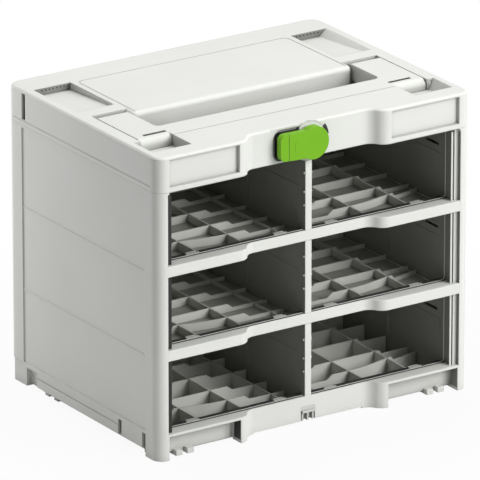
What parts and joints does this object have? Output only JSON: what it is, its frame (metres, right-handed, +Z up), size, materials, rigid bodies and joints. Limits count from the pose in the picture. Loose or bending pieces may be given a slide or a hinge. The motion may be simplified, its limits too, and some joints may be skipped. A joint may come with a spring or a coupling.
{
  "type": "tool case rack",
  "caption": "Stackable moulded rack with open front bays for small tool cases, a fold-down carry handle in the top and a turning latch at the front.",
  "frame": {"origin": "centre of the footprint, on the floor", "axes": "+X to the right across the front, +Y from the open front to the back, +Z up"},
  "size_m": [0.396, 0.296, 0.337],
  "materials": {
    "shell_plastic": "fine matt texture",
    "liner_plastic": "fine matt texture",
    "grid_plastic": "satin",
    "catch_plastic": "satin",
    "latch_plastic": "satin green",
    "backplate_plastic": "matt black",
    "pin_steel": "turned",
    "screw_steel": "plated"
  },
  "bodies": {
    "root": {"base_tray": "shell_plastic", "coupling_catch": "catch_plastic", "left_side_wall": "shell_plastic", "right_side_wall": "shell_plastic", "rear_wall": "shell_plastic", "top_cover": "shell_plastic", "ceiling_panel": "liner_plastic", "left_handle_pin": "pin_steel", "right_handle_pin": "pin_steel", "latch_backplate": "backplate_plastic", "middle_shelf": "shell_plastic", "upper_shelf": "shell_plastic", "lower_divider": "shell_plastic", "lower_left_grid": "grid_plastic", "lower_left_inner_liner": "liner_plastic", "lower_left_outer_liner": "liner_plastic", "lower_right_grid": "grid_plastic", "lower_right_inner_liner": "liner_plastic", "lower_right_outer_liner": "liner_plastic", "middle_divider": "shell_plastic", "middle_left_grid": "grid_plastic", "middle_left_inner_liner": "liner_plastic", "middle_left_outer_liner": "liner_plastic", "middle_right_grid": "grid_plastic", "middle_right_inner_liner": "liner_plastic", "middle_right_outer_liner": "liner_plastic", "upper_divider": "shell_plastic", "upper_left_grid": "grid_plastic", "upper_left_inner_liner": "liner_plastic", "upper_left_outer_liner": "liner_plastic", "upper_right_grid": "grid_plastic", "upper_right_inner_liner": "liner_plastic", "upper_right_outer_liner": "liner_plastic"},
    "handle": {"carry_handle": "shell_plastic", "left_slot_insert": "backplate_plastic", "right_slot_insert": "backplate_plastic"},
    "latch": {"latch_lever": "latch_plastic", "latch_screw": "screw_steel"}
  },
  "joints": [
    {"name": "handle_fold", "type": "hinge", "parent": "root", "child": "handle", "pos_m": [0, -0.005, 0.3285], "axis": [-1, 0, 0], "range_deg": [0, 90]},
    {"name": "latch_turn", "type": "hinge", "parent": "root", "child": "latch", "pos_m": [0, -0.134, 0.3165], "axis": [0, 1, 0], "range_deg": [0, 90]}
  ]
}
